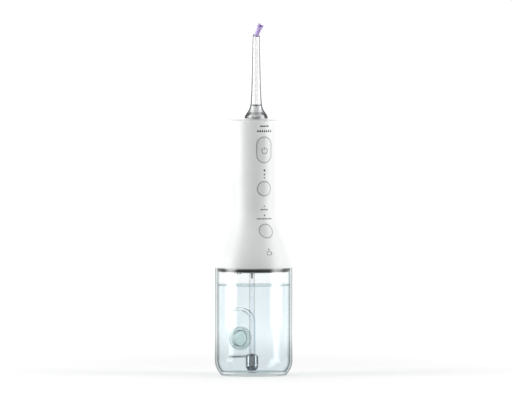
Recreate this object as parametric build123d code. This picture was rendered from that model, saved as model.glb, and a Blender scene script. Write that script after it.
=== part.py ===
from build123d import *
import os
from math import atan, cos, degrees, pi, radians, sin, sqrt, tan

# Water flosser: a clear reservoir, a lift-off power handle, and a turning, pull-off nozzle.
# Millimetres. +Z up, the buttons face -Y, the origin is the centre of the base.

# ---- reservoir
tank_radius = 34.0
tank_wall = 2.0
tank_height = 94.4
tank_floor = 3.0
corner_radius = 17.0        # big round where the wall runs into the base
corner_centre_z = 13.0
foot_height = 1.0
foot_inset = 1.1
base_recess_radius = tank_radius - 11.0
base_recess = 0.5

# ---- fill door in the back of the reservoir
plug_radius = 7.2
plug_flange = plug_radius + 3.2
plug_boss = plug_radius + 1.9
plug_taper = 0.6
plug_lift, plug_tip = 0.15, 1.7     # flange's gap to its seat, length of the tapered nose
fill_hole = plug_radius + 0.5
plug_z = 31.0
door_half = plug_flange + 0.8
door_foot_half = 9.0        # half width at the hinge
door_gap = 0.3              # all round the door
door_skin = 1.8
door_foot_z = 13.6          # lower edge
door_step_z = 18.5          # the door is full width from here up
door_swing = 2.0            # extra room under its shoulders as it swings out
arch_centre_z = 44.5
recess_y = tank_radius - 7.0     # face that the plug seals on
recess_wall = 2.0
hinge_y, hinge_z = recess_y + 2.5, 15.0
hinge_barrel = 1.5
hinge_pin = 0.8
hinge_pin_hold = 1.0        # length of pin in each side wall
hinge_rib_half = 7.0
plug_seat, plug_cap_end = 1.4, 4.2      # back of the rubber flange, back of the insert
past = 10.0                 # how far cutting shapes run past the part

# ---- handle shell; heights in the handle are measured from its lower edge
seam_gap = 0.2
handle_bottom = tank_height + seam_gap
skirt_lip = 0.6
skirt_radius = tank_radius + skirt_lip
shell_wall = 2.0
flare_top = handle_bottom + 51.4
waist_x, waist_y, waist_shift = 21.1, 23.9, 1.75      # semi-axes and offset of the oval
top_x, top_y, top_shift = 22.3, 26.1, 3.5
handle_top = handle_bottom + 129.4
top_edge_round = 1.0
top_cap_thick = 2.5
top_rim = 1.5

# ---- plug of the handle in the reservoir
plate_radius = tank_radius - tank_wall - 0.8
plate_drop = 4.0            # how far the plug reaches into the reservoir
flange_thick = 2.5
gasket_height, gasket_depth = 2.2, 1.0
gasket_drop = 1.1           # from the seam down to the gasket
seal_clear = 0.1
base_seal_low, base_seal_high, base_seal_depth = 0.7, 1.7, 1.0
plate_clear = 0.12          # between the plug's flange and the shell
guide_gap, guide_thick, guide_half, guide_rise = 4.0, 3.0, 2.5, 3.5     # guide of the yoke's free rod
free_rod = 9.8
screw_reach = 16.6          # of the legs from the axis, in x and in y
leg_radius = 3.0
screw_shank, screw_head = 0.9, 2.4
screw_head_thick, screw_sunk = 1.5, 0.5
drive_long, drive_narrow = 1.6, 0.3     # half sizes of the cross recess

# ---- suction line
hose_y = 3.5
hose_outer, hose_bore = 2.2, 1.22
hose_end_z = 15.5
barb_radius, barb_bore = 1.2, 0.6
filter_radius = 5.5
filter_bottom, filter_split, filter_shoulder, filter_top = 3.8, 8.6, 16.5, 18.5

# ---- pump and drive
module, wheel_teeth, pinion_teeth = 0.5, 48, 12
backlash = 0.12
wheel_y = -5.0
motor_y = wheel_y + module * (wheel_teeth + pinion_teeth) / 2
wheel_z, wheel_thick = handle_bottom + 15.6, 3.0
crank_throw, crank_pin = 2.0, 1.5
pump_z = handle_bottom + 9.4
stroke_clear = 0.3
yoke_reach, yoke_half, yoke_low, yoke_high = 7.2, 6.0, pump_z - 2.5, pump_z + 4.5
plunger_radius = 3.9
bore_clear = 0.1
cylinder_wall = 1.0
cylinder_start, cylinder_end = -10.2, -20.2
head_end = -26.5
head_port_x = -23.0
head_front, head_back, head_top = -10.5, 6.5, pump_z + 6.5
rod_radius = 1.5
fit = 0.02                  # parts of one body
running = 0.05              # shafts that turn
deck_z, deck_thick = wheel_z + wheel_thick + 2.3, 2.0
motor_radius, motor_length, can_wall = 10.0, 24.5, 0.8
motor_boss, shaft_radius = 3.0, 1.0
magnet_bore, armature_radius = 7.2, 6.6
outlet_outer, outlet_bore = 2.5, 1.52

# ---- battery and board
cell_radius, cell_length, cell_y = 9.1, 50.0, 11.5
cell_z = handle_bottom + 53.0
shelf_thick = 2.0
board_y, board_thick, board_half = -14.2, 1.2, 10.0
board_low, board_high = deck_z + 3.0, handle_bottom + 115.4
standoff_x, standoff_rows = 7.5, (handle_bottom + 60.4, handle_bottom + 79.4)
divider_front, divider_thick, divider_half = -2.2, 1.6, 16.0
cradle_rises, cradle_height, cradle_wall = (9.0, 38.0), 3.0, 1.8
chassis_clear = 0.4

# ---- buttons
button_gap = 0.3
button_proud = 0.12
power_z, power_half, power_height = handle_bottom + 103.7, 7.3, 23.4
pressure_z, mode_z, round_button = handle_bottom + 69.7, handle_bottom + 32.7, 6.7
button_depth, button_travel = 3.2, 0.6
lens_rows = tuple((handle_bottom + rise, radius) for rise, radius in
                  ((85.7, 0.85), (82.1, 0.7), (79.2, 0.55), (54.2, 0.6), (46.2, 0.6)))
charge_lens_z, charge_lens = handle_bottom + 16.7, 0.6

# ---- nozzle, its collar and its release
nozzle_y = -5.2
socket_radius, socket_bottom, socket_step = 8.2, handle_bottom + 105.4, handle_bottom + 116.4
collar_tube, collar_bore, collar_flange = 6.2, 3.8, 9.8
collar_low, collar_top = handle_top + 0.15, handle_top + 1.4
stem_radius, stem_bottom = 3.7, socket_bottom + 3.6
ring_depth, ring_low, ring_high = 0.6, 2.0, 3.2       # seal groove of the collar
stem_ring_low, stem_ring_high = 0.8, 1.9              # seal groove of the stem
disc_radius, disc_thick = 8.9, 0.8
bell_radius, bell_z, shaft_z = 10.2, handle_top + 1.6, handle_top + 13.5
shaft_low, shaft_high = 5.05, 3.2
bend_z, bend_radius, bend_angle, bend_split = shaft_z + 58.0, 6.0, 45.0, 24.6
tip_radius, tip_run = 2.85, 10.3
water_bore = 0.9
release_z, release_radius, release_travel = socket_bottom + 7.5, 5.2, 1.5
latch_half, latch_open, latch_thick = 5.5, 4.0, 1.6

# ---- charging port at the back
port_z = handle_bottom + 31.4
port_width, port_height, port_round = 15.0, 9.0, 2.0
cover_thick = 1.6

plate_low = handle_bottom - plate_drop
plate_top = handle_bottom + flange_thick


def blend(t):
    t = min(max(t, 0.0), 1.0)
    return t * t * (3 - 2 * t)


def oval(z, inset=0.0):
    """Semi-axes and centre of the handle's section at a height."""
    flare = blend((flare_top - z) / (flare_top - handle_bottom))
    rise = max(0.0, (z - flare_top) / (handle_top - flare_top))
    half_x = waist_x + (top_x - waist_x) * rise + (skirt_radius - waist_x) * flare
    half_y = waist_y + (top_y - waist_y) * rise + (skirt_radius - waist_y) * flare
    shift = waist_shift + (top_shift - waist_shift) * rise - waist_shift * flare
    return half_x - inset, half_y - inset, shift


def front_y(z):
    half_x, half_y, shift = oval(z)
    return shift - half_y


def back_y(z):
    half_x, half_y, shift = oval(z)
    return shift + half_y


def section(z, inset):
    half_x, half_y, shift = oval(z, inset)
    return Pos(0, shift, z) * Rot(0, 0, 90) * Ellipse(half_y, half_x)


def grip(inset, low, high):
    """Solid of the handle's outline, drawn in by inset, between two heights."""
    flare_height = flare_top - handle_bottom
    steps = 6
    body = loft([section(handle_bottom + flare_height * i / steps, inset) for i in range(steps + 1)])
    if high > flare_top:
        body += loft([section(flare_top, inset), section(high, inset)], ruled=True)
    if low < handle_bottom:
        body += post(skirt_radius - inset, low, handle_bottom)
    return body


def block(x0, x1, y0, y1, z0, z1):
    return Pos((x0 + x1) / 2, (y0 + y1) / 2, (z0 + z1) / 2) * Box(x1 - x0, y1 - y0, z1 - z0)


def post(radius, z0, z1, x=0.0, y=0.0):
    return Pos(x, y, (z0 + z1) / 2) * Cylinder(radius, z1 - z0)


def tube(outer, inner, z0, z1, x=0.0, y=0.0):
    return post(outer, z0, z1, x, y) - post(inner, z0 - 1, z1 + 1, x, y)


def rod_x(radius, x0, x1, y, z):
    return Pos((x0 + x1) / 2, y, z) * Rot(0, 90, 0) * Cylinder(radius, abs(x1 - x0))


def rod_y(radius, y0, y1, x, z):
    return Pos(x, (y0 + y1) / 2, z) * Rot(90, 0, 0) * Cylinder(radius, abs(y1 - y0))


def turned(*points, x=0.0, y=0.0):
    """Solid turned from (radius, z) points about an upright axis."""
    return Pos(x, y, 0) * revolve(Plane.XZ * make_face(Polyline(*points, close=True)), Axis.Z)


def prism_y(outline, y0, y1):
    """An (x, z) outline run from y0 to y1."""
    return extrude(Plane((0, y1, 0), x_dir=(1, 0, 0), z_dir=(0, -1, 0)) * outline, y1 - y0)


def slab(z0, z1):
    return block(-60, 60, -60, 60, z0, z1)


def hose(points, radius, outer, inner):
    path = FilletPolyline(*points, radius=radius)
    start = Plane(path @ 0, z_dir=path % 0)
    ring = Circle(outer) - Circle(inner) if inner else Circle(outer)
    return sweep(start * ring, path)


def write(name, shape):
    export_step(shape, f"parts/{name}.step")


# ---------------------------------------------------------------- reservoir

def tank_profile(inset, low, high):
    """Half section of the reservoir, drawn in by inset and cut flat at low."""
    centre_x = tank_radius - corner_radius
    radius = corner_radius - inset
    wall_x = tank_radius - inset
    start_angle = -degrees(atan((corner_centre_z - low) / sqrt(radius ** 2 - (corner_centre_z - low) ** 2)))
    mid = radians(start_angle / 2)
    start = (centre_x + radius * cos(radians(start_angle)), low)
    middle = (centre_x + radius * cos(mid), corner_centre_z + radius * sin(mid))
    corner = ThreePointArc(start, middle, (wall_x, corner_centre_z))
    return start, corner, Polyline((wall_x, corner_centre_z), (wall_x, high), (0, high))


def tank_outside():
    start, corner, rest = tank_profile(0.0, foot_height, tank_height)
    foot = start[0] - foot_inset
    edge = ThreePointArc((foot, 0), (foot + foot_inset * 0.75, foot_height * 0.35), start)
    outline = Line((0, 0), (foot, 0)) + edge + corner + rest + Line((0, tank_height), (0, 0))
    return revolve(Plane.XZ * make_face(outline), Axis.Z)


def tank_inside():
    start, corner, rest = tank_profile(tank_wall, tank_floor, tank_height + 5)
    outline = Line((0, tank_floor), start) + corner + rest + Line((0, tank_height + 5), (0, tank_floor))
    return revolve(Plane.XZ * make_face(outline), Axis.Z)


def door_outline(grow, low, swing=0.0):
    """Arched door outline, wider by grow, with its narrow foot reaching down to low."""
    half, foot_half = door_half + grow, door_foot_half + grow
    step = door_step_z - grow - swing
    wide = Pos(0, (step + arch_centre_z) / 2) * Rectangle(2 * half, arch_centre_z - step)
    foot = Pos(0, (low + arch_centre_z) / 2) * Rectangle(2 * foot_half, arch_centre_z - low)
    return wide + Pos(0, arch_centre_z) * Circle(half) + foot


def reservoir_tank():
    recess = prism_y(door_outline(door_gap, -1, door_swing), recess_y, tank_radius + past)
    jacket_outline = door_outline(door_gap + recess_wall, -1, door_swing)
    jacket = prism_y(jacket_outline, recess_y - recess_wall, tank_radius + past)
    pin_reach = door_foot_half + door_gap + hinge_pin_hold + fit
    tank = tank_outside() - (tank_inside() - jacket) - recess
    tank -= rod_y(fill_hole, recess_y - recess_wall - 1, recess_y + 1, 0, plug_z)
    tank -= rod_x(hinge_pin + fit, -pin_reach, pin_reach, hinge_y, hinge_z)
    return tank - post(base_recess_radius, -1, base_recess)


def door_hinge_pin():
    reach = door_foot_half + door_gap + hinge_pin_hold
    return rod_x(hinge_pin, -reach, reach, hinge_y, hinge_z)


def fill_door():
    wall = tube(tank_radius, tank_radius - door_skin, 0, tank_height)
    door = prism_y(door_outline(0, door_foot_z), recess_y, tank_radius + past) & wall
    door += rod_x(hinge_barrel, -door_foot_half, door_foot_half, hinge_y, hinge_z)
    rib_back = tank_radius - door_skin + 0.8
    door += block(-hinge_rib_half, hinge_rib_half, hinge_y, rib_back, hinge_z - 0.5, hinge_z + 1.5)
    boss = rod_y(plug_boss, recess_y + plug_seat, tank_radius, 0, plug_z)
    boss = boss & post(tank_radius - door_skin / 2, 0, tank_height)
    door += boss - rod_y(plug_radius + fit, recess_y, tank_radius - door_skin - 0.4, 0, plug_z)
    return door - rod_x(hinge_pin + running, -door_foot_half - 1, door_foot_half + 1, hinge_y, hinge_z)


def fill_plug():
    flange = rod_y(plug_flange, recess_y + plug_lift, recess_y + plug_seat, 0, plug_z)
    tip = Cone(plug_radius, plug_radius - plug_taper, plug_tip)
    return flange + Pos(0, recess_y + plug_lift - plug_tip / 2, plug_z) * Rot(90, 0, 0) * tip


def plug_cap():
    return rod_y(plug_radius, recess_y + plug_seat, recess_y + plug_cap_end, 0, plug_z)


# ---------------------------------------------------------------- handle shell and base

def front_frame(z, back=False):
    """Plane lying on the shell's centre line at a height, facing straight out."""
    slope = (front_y(z + 0.5) - front_y(z - 0.5)) if not back else (back_y(z - 0.5) - back_y(z + 0.5))
    tilt = atan(slope)
    if back:
        return Plane((0, back_y(z), z), x_dir=(-1, 0, 0), z_dir=(0, cos(tilt), sin(tilt)))
    return Plane((0, front_y(z), z), x_dir=(1, 0, 0), z_dir=(0, -cos(tilt), sin(tilt)))


def flat_frame(z):
    return Plane((0, front_y(z), z), x_dir=(1, 0, 0), z_dir=(0, -1, 0))


def punch(frame, outline, depth, above=5.0):
    """The outline run from a height above the frame to a depth below it."""
    return extrude(frame.offset(above) * outline, -(above + depth))


def power_outline(shrink=0.0):
    width, height = 2 * (power_half - shrink), power_height - 2 * shrink
    return Rot(0, 0, 90) * SlotOverall(height, width)


def round_outline(shrink=0.0):
    return Circle(round_button - shrink)


def port_outline(shrink=0.0):
    return RectangleRounded(port_width - 2 * shrink, port_height - 2 * shrink, port_round)


hole_depth = 8.0            # openings are cut this far in from the skin
skin = grip(0, handle_bottom, handle_top)
proud_skin = grip(-button_proud, handle_bottom, handle_top)


def lens_rod(z, radius, depth):
    return rod_y(radius, front_y(z) - 2, front_y(z) + depth, 0, z)


def cap_space(clear):
    """Oval recess in the top of the shell, or with a clearance the lid that lies in it."""
    low, high = handle_top - top_cap_thick - 3, handle_top + 2
    return loft([section(low, top_rim + clear), section(high, top_rim + clear)], ruled=True)


def handle_shell():
    ledge = handle_top - top_cap_thick
    top_edges = skin.edges().filter_by_position(Axis.Z, handle_top - 0.01, handle_top + 0.01)
    shell = fillet(top_edges, top_edge_round)
    shell -= grip(shell_wall, handle_bottom - 1, ledge)
    shell -= cap_space(0.0) & slab(ledge - 0.01, handle_top + 1)
    shell -= punch(flat_frame(power_z), power_outline(), hole_depth)
    shell -= punch(flat_frame(pressure_z), round_outline(), hole_depth)
    shell -= punch(front_frame(mode_z), round_outline(), hole_depth)
    shell -= punch(front_frame(port_z, back=True), port_outline(), hole_depth)
    shell -= rod_y(release_radius + button_gap, 20, 40, 0, release_z)
    for z, radius in lens_rows + ((charge_lens_z, charge_lens),):
        shell -= lens_rod(z, radius + fit, hole_depth)
    return shell


def top_cap():
    plate = cap_space(0.1) & slab(handle_top - top_cap_thick + 0.01, handle_top)
    return plate - post(collar_tube + 0.3, handle_top - 10, handle_top + 5, 0, nozzle_y)


def leg_places():
    return [(x, y) for x in (-screw_reach, screw_reach) for y in (-screw_reach, screw_reach)]


def base_plate():
    gasket_high = handle_bottom - gasket_drop
    plate = grip(shell_wall + plate_clear, handle_bottom - 5, plate_top + 5) & slab(handle_bottom, plate_top)
    plate += post(plate_radius, plate_low, handle_bottom)
    wide = skirt_radius + past
    plate -= tube(wide, plate_radius - gasket_depth, gasket_high - gasket_height - fit, gasket_high + fit)
    groove_low, groove_high = handle_bottom + base_seal_low, handle_bottom + base_seal_high
    plate -= tube(wide, skirt_radius - shell_wall - base_seal_depth, groove_low, groove_high)
    guide_x = yoke_reach + crank_throw + guide_gap
    guide_low, guide_high = wheel_y - guide_half, wheel_y + guide_half
    plate += block(guide_x, guide_x + guide_thick, guide_low, guide_high, plate_top, pump_z + guide_rise)
    plate -= rod_x(rod_radius + bore_clear, guide_x - 1, guide_x + guide_thick + 1, wheel_y, pump_z)
    plate -= post(barb_radius + fit, plate_low - 1, plate_top + 1, 0, hose_y)
    for x, y in leg_places():
        plate -= post(screw_shank + 0.3, plate_low - 1, plate_top + 1, x, y)
        plate -= post(screw_head + 0.2, plate_low - 1, plate_low + screw_sunk + screw_head_thick, x, y)
    return plate


def base_seal():
    outer = skirt_radius - shell_wall - seal_clear
    inner = skirt_radius - shell_wall - base_seal_depth + fit
    return tube(outer, inner, handle_bottom + base_seal_low + fit, handle_bottom + base_seal_high - fit)


def tank_gasket():
    high = handle_bottom - gasket_drop
    outer = tank_radius - tank_wall - seal_clear
    return tube(outer, plate_radius - gasket_depth + fit, high - gasket_height, high)


def base_screws():
    screws = []
    face = plate_low + screw_sunk
    for x, y in leg_places():
        head = post(screw_head, face, face + screw_head_thick, x, y)
        for half_x, half_y in ((drive_long, drive_narrow), (drive_narrow, drive_long)):
            head -= block(x - half_x, x + half_x, y - half_y, y + half_y, plate_low, face + 0.7)
        screws.append(head + post(screw_shank, face + screw_head_thick, plate_top + 7, x, y))
    return Compound(children=screws)


# ---------------------------------------------------------------- suction line

def inlet_nipple():
    nipple = post(barb_radius, plate_low - 6, plate_top + 2.9, 0, hose_y)
    nipple += post(2.6, plate_top, plate_top + 0.9, 0, hose_y)
    return nipple - post(barb_bore, plate_low - 7, plate_top + 5, 0, hose_y)


def suction_hose():
    return tube(hose_outer, hose_bore, hose_end_z, plate_low - 0.2, 0, hose_y)


def filter_weight():
    neck = hose_outer + 1.0
    weight = turned((0, filter_split), (filter_radius, filter_split), (filter_radius, filter_shoulder),
                    (neck, filter_top), (0, filter_top), y=hose_y)
    weight -= post(hose_outer + fit, hose_end_z, filter_top + 1, 0, hose_y)
    weight -= post(hose_bore, filter_split - 1, hose_end_z + 1, 0, hose_y)
    return weight


def filter_cap():
    """Rounded strainer cup under the weight, with slots for the water."""
    height = filter_split - filter_bottom
    flat = filter_radius - 2.2
    nose = ThreePointArc((flat, filter_bottom), (filter_radius - 0.75, filter_bottom + height * 0.36),
                         (filter_radius - 0.15, filter_split))
    outline = Line((0, filter_bottom), (flat, filter_bottom)) + nose
    outline += Polyline((filter_radius - 0.15, filter_split), (0, filter_split), (0, filter_bottom))
    cup = Pos(0, hose_y, 0) * revolve(Plane.XZ * make_face(outline), Axis.Z)
    cup -= post(flat - 0.4, filter_bottom + 1, filter_split + 1, 0, hose_y)
    for turn in (0, 60, 120):
        slot = Rot(0, 0, turn) * block(-0.6, 0.6, -10, 10, filter_bottom + 1.2, filter_bottom + 3.6)
        cup -= Pos(0, hose_y, 0) * slot
    return cup


# ---------------------------------------------------------------- chassis

def chassis():
    inside = grip(shell_wall + chassis_clear, handle_bottom, handle_top - 5)
    deck_top = deck_z + deck_thick
    shelf_z = cell_z - 0.4 - shelf_thick
    roof_z = socket_bottom - 0.1 - shelf_thick + 0.3
    body = slab(deck_z, deck_top) & inside
    divider_back = divider_front + divider_thick
    body += block(-divider_half, divider_half, divider_front, divider_back, deck_top, roof_z) & inside
    body += block(-50, 50, divider_front, 50, shelf_z, shelf_z + shelf_thick) & inside
    body += block(-50, 50, board_y + 0.7, 50, roof_z, socket_bottom) & inside
    for low in (cell_z + rise for rise in cradle_rises):
        high = low + cradle_height
        cradle = tube(cell_radius + 0.2 + cradle_wall, cell_radius + 0.2, low, high, 0, cell_y)
        body += cradle & block(-30, 30, -30, cell_y + 1, low, high)
        body += block(-4, 4, divider_back, cell_y - cell_radius - 0.6, low, high)
    for x, y in leg_places():
        body += post(leg_radius, plate_top, deck_z, x, y)
    for x in (-standoff_x, standoff_x):
        for z in standoff_rows:
            body += rod_y(1.6, board_y, divider_front, x, z)
            body -= rod_y(0.85, board_y - 1, board_y + 6, x, z)
    for x, y in leg_places():
        body -= post(screw_shank + fit, plate_top - 1, plate_top + 8, x, y)
    body -= post(motor_boss + fit, deck_z - 1, deck_top + 1, 0, motor_y)
    body -= post(shaft_radius + fit, deck_z - 1, deck_top + 1, 0, wheel_y)
    body -= post(4, shelf_z - 1, shelf_z + 5, 0, cell_y)
    body -= post(outlet_outer + 0.4, roof_z - 1, socket_bottom + 1, 0, nozzle_y)
    return body - block(-40, -17.5, wheel_y - 3.4, wheel_y + 3.4, deck_z - 1, deck_top + 1)


# ---------------------------------------------------------------- motor and gears

can_low = deck_z + deck_thick
can_high = can_low + motor_length


def motor_can():
    can = post(motor_radius, can_low, can_high, 0, motor_y)
    can += post(motor_boss, deck_z + 0.3, can_low, 0, motor_y)
    can -= post(motor_radius - can_wall, can_low + can_wall, can_high + 1, 0, motor_y)
    return can - post(shaft_radius + running, deck_z - 1, can_low + 2, 0, motor_y)


def motor_magnets():
    magnets = tube(motor_radius - can_wall - fit, magnet_bore, can_low + 2.5, can_high - 4, 0, motor_y)
    return magnets - block(-20, 20, motor_y - 3, motor_y + 3, can_low, can_high)


def motor_endcap():
    cap = post(motor_radius, can_high, can_high + 2.4, 0, motor_y)
    for x in (-5, 5):
        cap += block(x - 1.2, x + 1.2, motor_y - 0.3, motor_y + 0.3, can_high + 2.4, can_high + 2.8)
    return cap - post(shaft_radius + running, can_high - 1, can_high + 1.5, 0, motor_y)


def motor_armature():
    core = tube(armature_radius, shaft_radius + fit, can_low + 3.5, can_high - 5, 0, motor_y)
    for turn in (0, 120, 240):
        slot = Rot(0, 0, turn) * block(-0.8, 0.8, 3.5, 9, can_low, can_high)
        core -= Pos(0, motor_y, 0) * slot
    return core


def motor_shaft():
    return post(shaft_radius, wheel_z - 0.3, can_high + 1.2, 0, motor_y)


def toothed(teeth, turn):
    """Outline of a spur gear with straight-sided teeth and backlash."""
    pitch_radius = module * teeth / 2
    tip, root = pitch_radius + 0.9 * module, pitch_radius - 1.25 * module
    half = pi * module / 4 - backlash / 2
    lean = tan(radians(20))
    points = []
    for i in range(teeth):
        centre = 2 * pi * i / teeth + radians(turn)
        for radius, side in ((root, -1), (tip, -1), (tip, 1), (root, 1)):
            angle = centre + side * (half - (radius - pitch_radius) * lean) / pitch_radius
            points.append((radius * cos(angle), radius * sin(angle)))
    return make_face(Polyline(*points, close=True))


def pinion():
    gear = extrude(Pos(0, motor_y, wheel_z - 0.2) * toothed(pinion_teeth, 0), wheel_thick + 1.4)
    return gear - post(shaft_radius + fit, wheel_z - 1, wheel_z + 10, 0, motor_y)


def drive_gear():
    gear = extrude(Pos(0, wheel_y, wheel_z) * toothed(wheel_teeth, 180 / wheel_teeth), wheel_thick)
    for turn in range(0, 360, 60):
        hollow = post(1.7, wheel_z + 1.2, wheel_z + 9, 7, 0)
        gear -= Pos(0, wheel_y, 0) * Rot(0, 0, turn) * hollow
    gear += post(3.0, wheel_z + wheel_thick, deck_z - 0.6, 0, wheel_y)
    gear += post(crank_pin, yoke_low + 0.5, wheel_z, 0, wheel_y + crank_throw)
    return gear - post(shaft_radius + running, wheel_z + 1, deck_z, 0, wheel_y)


def gear_axle():
    return post(shaft_radius, wheel_z + 1.3, deck_z + deck_thick - 0.3, 0, wheel_y)


# ---------------------------------------------------------------- pump

plunger_end = cylinder_end + crank_throw + 0.4
plunger_length = 5.2
seal_x = plunger_end + 1.2
seal_width, seal_depth = 1.5, 0.7
head_screw_rows = (plate_top + 1.9, head_top - 1.7)
head_screw, head_screw_head, head_screw_bore = 0.7, 1.3, 0.72
head_screw_y = head_front + 1.5
chamber_bore, port_bore, valve_pocket = 1.2, 0.8, 1.9


def piston_yoke():
    window = crank_pin + crank_throw + stroke_clear
    # long enough for any crank angle at any stroke, as the two joints turn and slide on their own
    reach = window + crank_throw
    yoke = block(-yoke_reach, yoke_reach, wheel_y - yoke_half, wheel_y + yoke_half, yoke_low, yoke_high)
    yoke -= block(-reach, reach, wheel_y - window, wheel_y + window, yoke_low - 1, yoke_high + 1)
    yoke += rod_x(rod_radius, plunger_end + 1, -yoke_reach, wheel_y, pump_z)
    yoke += rod_x(rod_radius, yoke_reach, yoke_reach + free_rod, wheel_y, pump_z)
    yoke += rod_x(plunger_radius, plunger_end, plunger_end + plunger_length, wheel_y, pump_z)
    groove = rod_x(plunger_radius + 1, seal_x, seal_x + seal_width, wheel_y, pump_z)
    return yoke - (groove - rod_x(plunger_radius - seal_depth, seal_x - 1, seal_x + 3, wheel_y, pump_z))


def piston_seal():
    outer = plunger_radius + bore_clear / 2
    ring = rod_x(outer, seal_x + fit, seal_x + seal_width - fit, wheel_y, pump_z)
    return ring - rod_x(plunger_radius - seal_depth + fit, seal_x - 1, seal_x + 3, wheel_y, pump_z)


def pump_cylinder():
    bore = plunger_radius + bore_clear
    body = rod_x(bore + cylinder_wall, cylinder_end, cylinder_start, wheel_y, pump_z)
    body += block(cylinder_end + 1, cylinder_start - 1, wheel_y - 3, wheel_y + 3, plate_top, pump_z - 3)
    body += block(cylinder_end, cylinder_end + 1.6, head_front, 0.5, plate_top, head_top)
    body -= rod_x(bore, cylinder_end - 1, cylinder_start + 1, wheel_y, pump_z)
    for z in head_screw_rows:
        body -= rod_x(head_screw_bore, cylinder_end - 1, cylinder_end + 3, head_screw_y, z)
    return body


def pump_head():
    x, y, z = head_port_x, wheel_y, pump_z
    head = block(head_end, cylinder_end, head_front, head_back, plate_top, head_top)
    head += rod_x(barb_radius, cylinder_end, cylinder_end + 3, hose_y, z)
    head += post(outlet_bore - fit, head_top, head_top + 4, x, y)
    head -= rod_x(chamber_bore, x, cylinder_end + 1, y, z)
    head -= post(port_bore, z, head_top + 5, x, y)
    head -= post(valve_pocket, z + 2, head_top - 0.6, x, y)
    head -= rod_x(barb_bore, x, cylinder_end + 4, hose_y, z)
    head -= rod_y(port_bore, y, hose_y, x, z)
    head -= rod_y(valve_pocket, y + 2.8, y + 7.4, x, z)
    for row in head_screw_rows:
        head -= rod_x(head_screw_bore, head_end - 1, cylinder_end + 1, head_screw_y, row)
    return head


def head_screws():
    screws = []
    for row in head_screw_rows:
        shank = rod_x(head_screw, head_end, cylinder_end + 1.4, head_screw_y, row)
        screws.append(shank + rod_x(head_screw_head, head_end - 0.8, head_end, head_screw_y, row))
    return Compound(children=screws)


def duckbill():
    """Rubber check valve that lies in a pocket and opens towards +Z from its own base."""
    rim = valve_pocket - 0.05
    bill = turned((0, 0), (rim, 0), (rim, 1.1), (1.3, 1.1), (0.5, 3.4), (0, 3.4))
    return bill - turned((0, -1), (port_bore, -1), (port_bore, 1.0), (0.15, 3.0), (0, 3.0))


def outlet_valve():
    return Pos(head_port_x, wheel_y, pump_z + 2.05) * duckbill()


def inlet_valve():
    return Pos(head_port_x, wheel_y + 7.35, pump_z) * Rot(90, 0, 0) * duckbill()


def inlet_tube():
    points = [(0, hose_y, plate_top + 1), (0, hose_y, pump_z), (cylinder_end + 0.2, hose_y, pump_z)]
    return hose(points, 4.0, hose_outer, hose_bore)


def outlet_tube():
    points = [(head_port_x, wheel_y, head_top + 0.3), (head_port_x, wheel_y, head_top + 5.2),
              (-13.5, nozzle_y, deck_z + 18.5), (-13.5, nozzle_y, socket_bottom - 22),
              (0, nozzle_y, socket_bottom - 11),
              (0, nozzle_y, socket_bottom - 0.1)]
    return hose(points, [2.6, 9, 9, 5], outlet_outer, outlet_bore)


# ---------------------------------------------------------------- battery and electronics

def battery_cell():
    cell = post(cell_radius, cell_z, cell_z + cell_length, 0, cell_y)
    return fillet(cell.edges(), 0.6)


def battery_tabs():
    top = cell_z + cell_length
    return Compound(children=[block(-3, 3, cell_y - 6, cell_y + 6, top, top + 0.25),
                              block(-2.6, 2.6, cell_y - 5, cell_y + 2, cell_z - 0.25, cell_z)])


def circuit_board():
    board = block(-board_half, board_half, board_y - board_thick, board_y, board_low, board_high)
    for x in (-standoff_x, standoff_x):
        for z in standoff_rows:
            board -= rod_y(1.0, board_y - 5, board_y + 5, x, z)
    return board


def board_screws():
    face = board_y - board_thick
    screws = []
    for x in (-standoff_x, standoff_x):
        for z in standoff_rows:
            screws.append(rod_y(0.83, face, board_y + 5, x, z) + rod_y(1.7, face - 0.8, face, x, z))
    return Compound(children=screws)


switch_half, switch_height = 2.6, 2.0
mode_slope = front_y(mode_z + 0.5) - front_y(mode_z - 0.5)
mode_switch_z = mode_z + (front_y(mode_z) - board_y + board_thick) * mode_slope


def tact_switches():
    face = board_y - board_thick
    half, depth = switch_half, switch_height - 0.4
    switches = []
    for z in (power_z, pressure_z, mode_switch_z):
        body = block(-half, half, face - depth, face, z - half, z + half)
        switches.append(body + rod_y(1.5, face - switch_height, face - depth, 0, z))
    return Compound(children=switches)


def indicator_leds():
    face = board_y - board_thick
    chips = [block(-0.8, 0.8, face - 0.7, face, z - 0.4, z + 0.4) for z, radius in lens_rows]
    return Compound(children=chips)


def indicator_lenses():
    lenses = []
    for z, radius in lens_rows:
        lenses.append(lens_rod(z, radius, board_y - board_thick - 1.2 - front_y(z)) & skin)
    lenses.append(lens_rod(charge_lens_z, charge_lens, 4) & skin)
    return Compound(children=lenses)


def button(frame, outline, tab_reach, plunger):
    """A cap that fills its opening, two catches behind the wall, and a plunger."""
    cap = punch(frame, outline, button_depth) & proud_skin
    for side in (-1, 1):
        tab = Pos(0, side * tab_reach) * Rectangle(5, 2.4)
        cap += extrude(frame.offset(-button_depth) * tab, 0.7)
    return cap + extrude(frame.offset(-button_depth) * Circle(2), -plunger)


def switch_gap(z):
    """Free length from the back of a cap to its switch, less the travel."""
    return board_y - board_thick - switch_height - front_y(z) - button_depth - button_travel - 0.1


def power_button():
    return button(flat_frame(power_z), power_outline(button_gap), power_height / 2, switch_gap(power_z))


def pressure_button():
    return button(flat_frame(pressure_z), round_outline(button_gap), round_button, switch_gap(pressure_z))


def mode_button():
    reach = switch_gap(mode_z) / cos(atan(mode_slope)) - 0.5
    return button(front_frame(mode_z), round_outline(button_gap), round_button, reach)


# ---------------------------------------------------------------- charging port

port_frame_plane = front_frame(port_z, back=True)
port_hinge = port_frame_plane * Pos(0, -port_height / 2 + button_gap, 0)
socket_long, socket_high, socket_wall, socket_depth = 9.0, 3.2, 0.35, 7.2


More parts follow.
